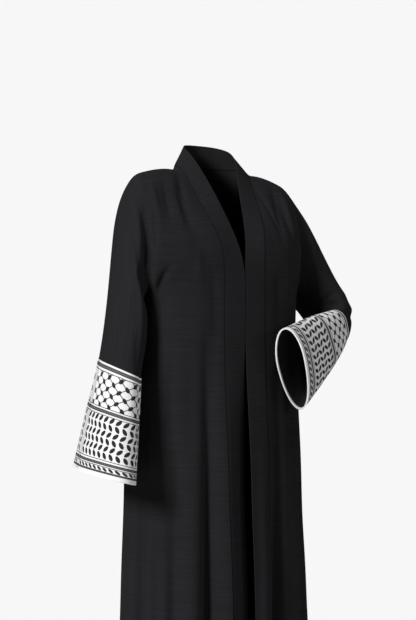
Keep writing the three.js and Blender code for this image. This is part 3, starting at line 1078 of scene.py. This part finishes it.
@dataclass(frozen=True)
class CuffFinish:
    """The woven black and white strip: a knotted net over columns of leaves.

    Every size is in centimetres on the flat strip, from its top edge and from its two ends.
    """

    name: str
    black: Point = (0.014, 0.014, 0.015)
    grey: Point = (0.09, 0.09, 0.095)
    white: Point = (0.78, 0.775, 0.77)
    worn_white: Point = (0.66, 0.655, 0.65)
    thread_scale: Pair = (14, 14)
    wear_scale: Pair = (0.5, 0.5)
    roughness: float = 0.8
    gloss: float = 0.25
    relief: float = 0.35
    relief_height: float = 0.0004
    net_top: float = 1.45
    net_foot: float = 7.65
    net_pitch: Pair = (2.9, 2.15)
    net_lines: Pair = (0.08, 0.09)
    knot_size: Pair = (0.6, 0.38)
    leaf_top: float = 9.1
    leaf_foot: float = 17.15
    leaf_pitch: Pair = (1.45, 1.34)
    leaf_size: Pair = (0.74, 0.4)
    leaf_fullness: float = 0.62
    leaf_lean: float = 50
    leaf_start: float = 0.42
    leaf_trim: float = 0.02
    rope_middle: float = 18.8
    rope_pitch: float = 1.35
    rope_strand: Pair = (0.64, 0.24)
    rope_lean: float = 26
    rope_half: float = 0.36
    black_lines: tuple[float, ...] = (
        0.4, 0.9, 1.4, 7.7, 8.1, 8.62, 9.05, 17.2, 17.65, 18.05, 18.36, 19.25, 19.5,
    )
    grey_bands: tuple[Pair, ...] = ((0.4, 0.9), (8.1, 8.62), (17.65, 18.05), (19.25, 19.5))
    line_half: float = 0.068
    end_lines: tuple[float, ...] = (0.3, 0.75)
    end_width: float = 0.95
    ends_at: float = -2.2
    bordered: bool = True
    softness: float = 0.03

    def make(self) -> bpy.types.Material:
        """Builds the material."""
        nodes = Nodes(self.name)
        down, round_arm = nodes.cut_place()
        x, y = round_arm * 100.0 - self.ends_at, down * 100.0
        inside_net = self._within(nodes, y, self.net_top, self.net_foot)
        inside_leaves = self._within(nodes, y, self.leaf_top, self.leaf_foot)
        pattern = inside_net * self._net(nodes, x, y) + inside_leaves * self._leaves(nodes, x, y)
        pattern = pattern + self._rope(nodes, x, y)
        dark = nodes.clamp(pattern)
        if self.bordered:
            dark = dark * self._solid(nodes, abs(x) - self.end_width)
            for place in self.end_lines:
                dark = dark + self._solid(nodes, self.line_half - abs(abs(x) - place))
        for place in self.black_lines:
            dark = dark + self._solid(nodes, self.line_half - abs(y - place))
        dark = nodes.clamp(dark)
        bands = (self._within(nodes, y, *ends) for ends in self.grey_bands)
        band = nodes.clamp(sum(bands, start=dark * 0.0))
        thread = nodes.grain((x, y), self.thread_scale)
        wear = nodes.grain((x, y), self.wear_scale)
        ground = nodes.layer(nodes.clamp(thread * 0.6 + wear * 0.4), self.worn_white, self.white)
        greyed = nodes.layer(band, ground, self.grey)
        colour = nodes.layer(dark, greyed, self.black)
        surface = nodes.surface
        nodes.fill(surface, Base_Color=colour, Roughness=self.roughness, Specular_IOR_Level=self.gloss)
        nodes.bump(thread * 0.6 + dark * 0.8, self.relief, self.relief_height)
        return nodes.material

    def _solid(self, nodes: Nodes, depth: Socket) -> Socket:
        """Turns a depth inside a shape's edge, in centimetres, into cover from 0 to 1."""
        return nodes.clamp(depth / self.softness + 0.5)

    def _within(self, nodes: Nodes, y: Socket, top: float, foot: float) -> Socket:
        """Covers a band between two depths of the strip."""
        return self._solid(nodes, (foot - top) / 2 - abs(y - (top + foot) / 2))

    @staticmethod
    def _off_whole(nodes: Nodes, value: Socket) -> tuple[Socket, Socket]:
        """Splits a value into its nearest whole number and what is left."""
        whole = nodes.math("FLOOR", value + 0.5)
        return whole, value - whole

    @staticmethod
    def _odd(nodes: Nodes, whole: Socket) -> Socket:
        """Gives 1 where a whole number is odd and 0 where it is even."""
        return nodes.math("MODULO", whole + 1000.0, 2.0)

    def _net(self, nodes: Nodes, x: Socket, y: Socket) -> Socket:
        """Covers the net's diagonal lines and the knots on their crossings."""
        wide, tall = self.net_pitch
        low = y - (self.net_top + tall / 4)
        rise, off_rise = self._off_whole(nodes, x / wide + low / tall)
        fall, off_fall = self._off_whole(nodes, x / wide - low / tall)
        per_cm = math.hypot(1 / wide, 1 / tall)
        lines = self._solid(nodes, self.net_lines[0] - abs(off_rise) / per_cm)
        falling = self._solid(nodes, self.net_lines[1] - abs(off_fall) / per_cm)
        lines = nodes.math("MAXIMUM", lines, falling)
        across = (off_rise + off_fall) * (wide / 2)
        below = (off_rise - off_fall) * (tall / 2)
        odd = self._odd(nodes, rise - fall)
        up_slope, down_slope = (across - below) * math.sqrt(0.5), (across + below) * math.sqrt(0.5)
        knot = self._oval(nodes, up_slope, down_slope, *self.knot_size) * (1 - odd)
        knot = knot + self._oval(nodes, down_slope, up_slope, *self.knot_size) * odd
        return nodes.math("MAXIMUM", lines, knot)

    def _oval(self, nodes: Nodes, first: Socket, second: Socket, long: float, short: float) -> Socket:
        """Covers an oval with two half widths."""
        reach = nodes.math("SQRT", (first / long) * (first / long) + (second / short) * (second / short))
        return self._solid(nodes, (1 - reach) * min(long, short))

    def _leaves(self, nodes: Nodes, x: Socket, y: Socket) -> Socket:
        """Covers the leaves, which lean to and fro down each column."""
        wide, tall = self.leaf_pitch
        _, off_x = self._off_whole(nodes, x / wide)
        row, off_y = self._off_whole(nodes, (y - self.leaf_top) / tall - self.leaf_start)
        sway = 1 - self._odd(nodes, row) * 2.0
        across, below = off_x * wide, off_y * tall * sway
        lean = math.radians(self.leaf_lean)
        along = across * math.cos(lean) - below * math.sin(lean)
        aside = across * math.sin(lean) + below * math.cos(lean)
        length, half = self.leaf_size
        share = along / length
        round_share = nodes.math("POWER", nodes.clamp(1 - share * share), self.leaf_fullness)
        return self._solid(nodes, round_share * half - abs(aside) - self.leaf_trim)

    def _rope(self, nodes: Nodes, x: Socket, y: Socket) -> Socket:
        """Covers the row of slanted strands in the lower border."""
        _, off = self._off_whole(nodes, x / self.rope_pitch)
        across, below = off * self.rope_pitch, y - self.rope_middle
        turn = math.radians(self.rope_lean)
        along = across * math.cos(turn) + below * math.sin(turn)
        aside = below * math.cos(turn) - across * math.sin(turn)
        strand = self._oval(nodes, along, aside, *self.rope_strand)
        ends = self.rope_middle - self.rope_half, self.rope_middle + self.rope_half
        return strand * self._within(nodes, y, *ends)


@dataclass
class Abaya:
    """The garment's pieces, parted from the sheet and dressed."""

    sheet: GarmentSheet
    crepe_wall: float = 1.6
    band_wall: float = 2.0
    cuff_wall: float = 1.0
    cuff_lift: float = 1.5
    binding_wall: float = 2.9
    binding_width: float = 3.4
    binding_lift: float = 0.65
    overarm_near: float = 0.02
    hem_near: float = 0.0001

    def build(self) -> None:
        """Builds every piece."""
        fine = self.sheet.build()
        crepe = CrepeFinish("crepe_black").make()
        band = CrepeFinish("crepe_band", relief=0.25, seam_at=self.sheet.band_width * MM - 0.001).make()
        cuffs = {
            Side.RIGHT: CuffFinish("cuff_woven_right").make(),
            Side.LEFT: CuffFinish("cuff_woven_left", bordered=False).make(),
        }
        binding = BindingFinish().make()
        for side in Side:
            for panel in (Panel.FRONT, Panel.BACK):
                zones = {tag(side, panel, zone) for zone in (Zone.BODY, Zone.SLEEVE, Zone.CUFF)}
                node = f"{panel.name.lower()}_{side.word}"
                self._piece(fine, node, zones, self.crepe_wall, 0, crepe)
            zones = {tag(side, Panel.BAND, Zone.BAND)}
            self._piece(fine, f"band_{side.word}", zones, self.band_wall, 0, band)
            zones = {tag(side, panel, Zone.CUFF) for panel in (Panel.FRONT, Panel.BACK)}
            self._piece(fine, f"cuff_{side.word}", zones, self.cuff_wall, self.cuff_lift, cuffs[side])
            self._binding(fine, side, binding)
        bpy.data.meshes.remove(fine)

    def _part(self, fine: bpy.types.Mesh, tags: set[int]) -> bmesh.types.BMesh:
        """Copies the tagged faces out of the sheet."""
        part = bmesh.new()
        part.from_mesh(fine)
        others = [face for face in part.faces if face.material_index not in tags]
        bmesh.ops.delete(part, geom=others, context="FACES")
        return part

    def _piece(
        self,
        fine: bpy.types.Mesh,
        node: str,
        tags: set[int],
        wall: float,
        lift: float,
        material: bpy.types.Material,
    ) -> None:
        """Parts one piece from the sheet and finishes it.

        Args:
            fine: The whole sheet.
            node: The CAD node that it stands for.
            tags: The face tags that it takes.
            wall: Its thickness.
            lift: How far it lies out from the sheet.
            material: Its finish.
        """
        part = self._part(fine, tags)
        if lift:
            fronts = {index for index in tags if index // len(Zone) % len(Panel) == Panel.FRONT.value}
            overarm = [edge for edge in part.edges if self._is_overarm(edge, fronts, part)]
            part.normal_update()
            for vert, place in [(vert, vert.co + vert.normal * lift) for vert in part.verts]:
                vert.co = place
            bmesh.ops.split_edges(part, edges=overarm)
        self._finish(part, node, wall, material)

    def _is_overarm(self, edge: bmesh.types.BMEdge, fronts: set[int], part: bmesh.types.BMesh) -> bool:
        """Tells whether an edge lies on the overarm line, where the strip's two ends meet."""
        tags = [face.material_index in fronts for face in edge.link_faces]
        if len(tags) != 2 or tags[0] == tags[1]:
            return False
        cut = part.loops.layers.uv["cut"]
        return all(abs(loop[cut].uv.y) < self.overarm_near for loop in edge.link_loops)

    def _binding(self, fine: bpy.types.Mesh, side: Side, material: bpy.types.Material) -> None:
        """Sews the narrow binding round one sleeve's hem."""
        part = self._part(fine, {tag(side, panel, Zone.CUFF) for panel in (Panel.FRONT, Panel.BACK)})
        cut = part.loops.layers.uv["cut"]
        depth = self.sheet.cuff_depth * MM

        def at_hem(edge: bmesh.types.BMEdge) -> bool:
            return all(abs(loop[cut].uv.x - depth) < self.hem_near for loop in edge.link_loops)

        rim = [edge for edge in part.edges if edge.is_boundary and at_hem(edge)]
        part.normal_update()
        ends = {vert for edge in rim for vert in edge.verts}
        ways = {}
        for vert in ends:
            inner = [edge.other_vert(vert) for edge in vert.link_edges if edge.other_vert(vert) not in ends]
            ways[tuple(vert.co)] = ((vert.co - inner[0].co).normalized(), vert.normal.copy())
        made = bmesh.ops.extrude_edge_only(part, edges=rim)["geom"]
        fresh = [item for item in made if isinstance(item, bmesh.types.BMVert)]
        ring = {face for item in fresh for face in item.link_faces}
        moves = [(vert, ways[tuple(vert.co)][0]) for vert in fresh]
        for vert, way in moves:
            vert.co = vert.co + way * self.binding_width
        bmesh.ops.delete(part, geom=[face for face in part.faces if face not in ring], context="FACES")
        part.normal_update()
        for vert in part.verts:
            vert.co = vert.co + vert.normal * self.binding_lift
        wrapped = 1 + self.binding_wall / self.binding_width
        self._finish(part, f"cuff_edge_{side.word}", self.binding_wall, material, wrapped)

    def _finish(
        self,
        part: bmesh.types.BMesh,
        node: str,
        wall: float,
        material: bpy.types.Material,
        turned: float = 1,
    ) -> None:
        """Gives a parted piece its wall, smooth form, finish and place in the part.

        Args:
            part: The piece's cloth, one layer thick, in millimetres.
            node: The CAD node that it stands for.
            wall: Its thickness.
            material: Its finish.
            turned: How many times the layer's area its flat cut has.
        """
        bmesh.ops.scale(part, vec=(MM, MM, MM), verts=part.verts[:])
        for face in part.faces:
            face.material_index = 0
            face.smooth = True
        for edge in part.edges:
            edge.smooth = not edge.is_boundary
        mesh = bpy.data.meshes.new(f"cloth_{node}")
        part.to_mesh(mesh)
        part.free()
        mesh.materials.append(material)
        piece = placed(f"cloth_{node}", mesh)
        thick = piece.modifiers.new("wall", "SOLIDIFY")
        thick.thickness = wall * MM
        thick.offset = 0
        thick.edge_crease_inner = thick.edge_crease_outer = thick.edge_crease_rim = 1
        smooth = piece.modifiers.new("smooth", "SUBSURF")
        smooth.levels = smooth.render_levels = 1
        area = turned * sum(face.area for face in mesh.polygons)
        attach(piece, "root")
        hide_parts(node)
        log.info("%s: %d faces, %.4f m2", piece.name, len(mesh.polygons), area)


@dataclass(frozen=True)
class Studio:
    """A pale floor, soft lights and the camera at the photograph's angle."""

    stand_angle: float = 32
    side_angle: float = 31.82
    pitch: float = 2.354
    distance: float = 3.1
    eye_z: float = -0.412
    lens: float = 91.8
    floor_z: float = -1.48
    floor_radius: float = 2.5
    floor_colour: Point = (0.85, 0.85, 0.85)
    lit_point: Point = (0, 0, -0.5)
    around: float = 0.1
    backdrop: Point = (0.93, 0.93, 0.935)

    def aim_camera(self) -> None:
        """Makes the camera."""
        data = bpy.data.cameras.new("camera")
        data.sensor_width = 36
        data.lens = self.lens
        camera = placed("camera", data)
        across = math.radians(self.stand_angle)
        camera.location = (-math.sin(across) * self.distance, -math.cos(across) * self.distance, self.eye_z)
        turn, rise = math.radians(self.side_angle), math.radians(self.pitch)
        ahead = Vector((math.sin(turn) * math.cos(rise), math.cos(turn) * math.cos(rise), math.sin(rise)))
        camera.rotation_euler = ahead.to_track_quat("-Z", "Y").to_euler()
        bpy.context.scene.camera = camera

    def lay_floor(self) -> None:
        """Lays the pale floor."""
        disc = bmesh.new()
        bmesh.ops.create_circle(disc, cap_ends=True, segments=96, radius=self.floor_radius)
        bmesh.ops.translate(disc, verts=disc.verts[:], vec=(0, 0, self.floor_z))
        mesh = bpy.data.meshes.new("floor")
        disc.to_mesh(mesh)
        disc.free()
        floor = placed("floor", mesh)
        nodes = Nodes("floor_pale")
        nodes.fill(nodes.surface, Base_Color=(*self.floor_colour, 1), Roughness=0.9)
        mesh.materials.append(nodes.material)
        floor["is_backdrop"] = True

    def hang_lights(self) -> None:
        """Hangs the soft lights and sets the pale surroundings."""
        world = bpy.data.worlds.new("studio")
        world.use_nodes = True
        tree = world.node_tree
        around = tree.nodes["Background"]
        around.inputs["Color"].default_value = (1, 1, 1, 1)
        around.inputs["Strength"].default_value = self.around
        behind = tree.nodes.new("ShaderNodeBackground")
        behind.inputs["Color"].default_value = (*self.backdrop, 1)
        path = tree.nodes.new("ShaderNodeLightPath")
        choice = tree.nodes.new("ShaderNodeMixShader")
        tree.links.new(path.outputs["Is Camera Ray"], choice.inputs["Fac"])
        tree.links.new(around.outputs["Background"], choice.inputs[1])
        tree.links.new(behind.outputs["Background"], choice.inputs[2])
        tree.links.new(choice.outputs["Shader"], tree.nodes["World Output"].inputs["Surface"])
        bpy.context.scene.world = world
        bpy.context.scene.view_settings.view_transform = "Standard"
        for name, place, width, power in (
            ("key", (-3.6, -1.2, 1.2), 1.0, 190),
            ("fill", (2.6, -2.8, 0.7), 1.0, 26),
            ("top", (0.5, -0.8, 2.6), 1.2, 26),
        ):
            data = bpy.data.lights.new(name, "AREA")
            data.size = width
            data.energy = power
            light = placed(name, data)
            light.location = place
            ray = Vector(self.lit_point) - Vector(place)
            light.rotation_euler = ray.to_track_quat("-Z", "Y").to_euler()


def main() -> None:
    """Builds the studio and the garment, and notes their sizes."""
    studio = Studio()
    studio.aim_camera()
    studio.lay_floor()
    studio.hang_lights()
    sheet = GarmentSheet(BODY, {Side.RIGHT: RIGHT_SLEEVE, Side.LEFT: LEFT_SLEEVE}, STROKES)
    Abaya(sheet).build()
    boxes = {"cad": [list(corner) for corner in CAD_BOX], "visual": [list(corner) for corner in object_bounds()]}
    for name, (low, high) in boxes.items():
        log.info("%s box %s to %s", name, np.round(low, 3), np.round(high, 3))


if __name__ == "__main__":
    logging.basicConfig(level=logging.INFO, format="%(name)s: %(message)s")
    main()
